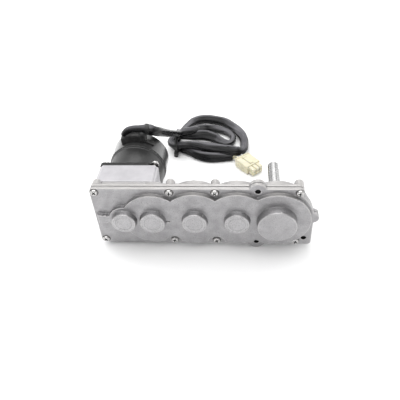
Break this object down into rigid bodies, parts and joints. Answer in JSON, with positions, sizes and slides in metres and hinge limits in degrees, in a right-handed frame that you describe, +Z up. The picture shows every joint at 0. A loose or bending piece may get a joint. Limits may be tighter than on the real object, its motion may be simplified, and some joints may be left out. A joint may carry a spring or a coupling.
{
  "type": "geared dc motor",
  "caption": "Flat spur gear reducer in a two-part cast case with a round DC motor standing behind one end, an output shaft at the other and a sleeved cable ending in a connector.",
  "frame": {"origin": "under the middle of the unit without its cable, at the foot of the lower mounting ear", "axes": "+X along the gearbox from the motor end to the output end, +Y from the cover towards the motor and output shaft, +Z up"},
  "size_m": [0.2164, 0.2476, 0.0906],
  "materials": {
    "cast_aluminium": "die-cast, fine mottled grain, unpainted",
    "adapter_aluminium": "bead-blasted, pale",
    "ground_steel": "ground",
    "nickel_screw": "nickel plated",
    "black_steel": "blackened, satin",
    "grey_paint": "dark grey, satin",
    "gloss_black": "gloss black enamel",
    "black_rubber": "matt",
    "black_nylon": "moulded nylon",
    "black_sleeve": "semi-gloss PVC sleeve",
    "cream_nylon": "translucent natural nylon",
    "bronze": "sintered, oil-filled",
    "copper": "enamelled copper",
    "laminations": "stacked electrical steel",
    "ferrite": "ferrite, matt",
    "carbon": "carbon",
    "phenolic": "phenolic board",
    "paper_gasket": "dark sealing sheet"
  },
  "bodies": {
    "case": {"gearbox_cover": "cast_aluminium", "gearbox_housing": "cast_aluminium", "cover_gasket": "paper_gasket", "cover_screw_1": "nickel_screw", "cover_screw_2": "nickel_screw", "cover_screw_3": "nickel_screw", "cover_screw_4": "nickel_screw", "cover_screw_5": "nickel_screw", "cover_screw_6": "nickel_screw", "cover_screw_7": "nickel_screw", "cover_screw_8": "nickel_screw", "motor_screw_1": "nickel_screw", "motor_screw_2": "nickel_screw", "motor_screw_3": "nickel_screw", "motor_screw_4": "nickel_screw", "motor_adapter": "adapter_aluminium", "motor_mount_plate": "black_steel", "motor_front_case": "grey_paint", "motor_can": "gloss_black", "cable_boot": "black_rubber", "oil_seal": "black_rubber", "cable_tie_boot": "black_nylon", "cable_tie_hank": "black_nylon", "motor_cable": "black_sleeve", "cable_hank": "black_sleeve", "connector_housing": "cream_nylon", "pinion_bush_front": "bronze", "pinion_bush_rear": "bronze", "first_bush_front": "bronze", "first_bush_rear": "bronze", "second_bush_front": "bronze", "second_bush_rear": "bronze", "third_bush_front": "bronze", "third_bush_rear": "bronze", "motor_bush_front": "bronze", "motor_bush_rear": "bronze", "output_bush": "bronze", "output_bearing_outer": "ground_steel", "magnet_upper": "ferrite", "magnet_lower": "ferrite", "brush_holder": "phenolic", "brush_left": "carbon", "brush_right": "carbon"},
    "rotor": {"armature_shaft": "ground_steel", "armature_core": "laminations", "armature_windings": "copper", "commutator": "copper", "shaft_coupling": "ground_steel", "pinion_shaft": "ground_steel", "motor_pinion": "ground_steel"},
    "first_shaft": {"first_pinion_shaft": "ground_steel", "first_gear": "ground_steel"},
    "second_shaft": {"second_pinion_shaft": "ground_steel", "second_gear": "ground_steel"},
    "third_shaft": {"third_pinion_shaft": "ground_steel", "third_gear": "ground_steel"},
    "output": {"output_shaft": "ground_steel", "output_gear": "ground_steel", "output_key": "ground_steel", "output_bearing_inner": "ground_steel"}
  },
  "joints": [
    {"name": "rotor_spin", "type": "hinge", "parent": "case", "child": "rotor", "pos_m": [-0.0784, -0.04345, 0.0414], "axis": [0, 1, 0], "continuous": true},
    {"name": "first_shaft_spin", "type": "hinge", "parent": "case", "child": "first_shaft", "pos_m": [-0.0504, -0.04345, 0.0414], "axis": [0, 1, 0], "continuous": true},
    {"name": "second_shaft_spin", "type": "hinge", "parent": "case", "child": "second_shaft", "pos_m": [-0.0099, -0.04345, 0.0414], "axis": [0, 1, 0], "continuous": true},
    {"name": "third_shaft_spin", "type": "hinge", "parent": "case", "child": "third_shaft", "pos_m": [0.0306, -0.04345, 0.0414], "axis": [0, 1, 0], "continuous": true},
    {"name": "output_spin", "type": "hinge", "parent": "case", "child": "output", "pos_m": [0.0681, -0.04345, 0.0414], "axis": [0, 1, 0], "continuous": true}
  ],
  "couplings": [
    {"joint": "first_shaft_spin", "follows": "rotor_spin", "ratio": -0.27273},
    {"joint": "second_shaft_spin", "follows": "rotor_spin", "ratio": 0.17355},
    {"joint": "third_shaft_spin", "follows": "rotor_spin", "ratio": -0.11044},
    {"joint": "output_spin", "follows": "rotor_spin", "ratio": 0.04295}
  ]
}
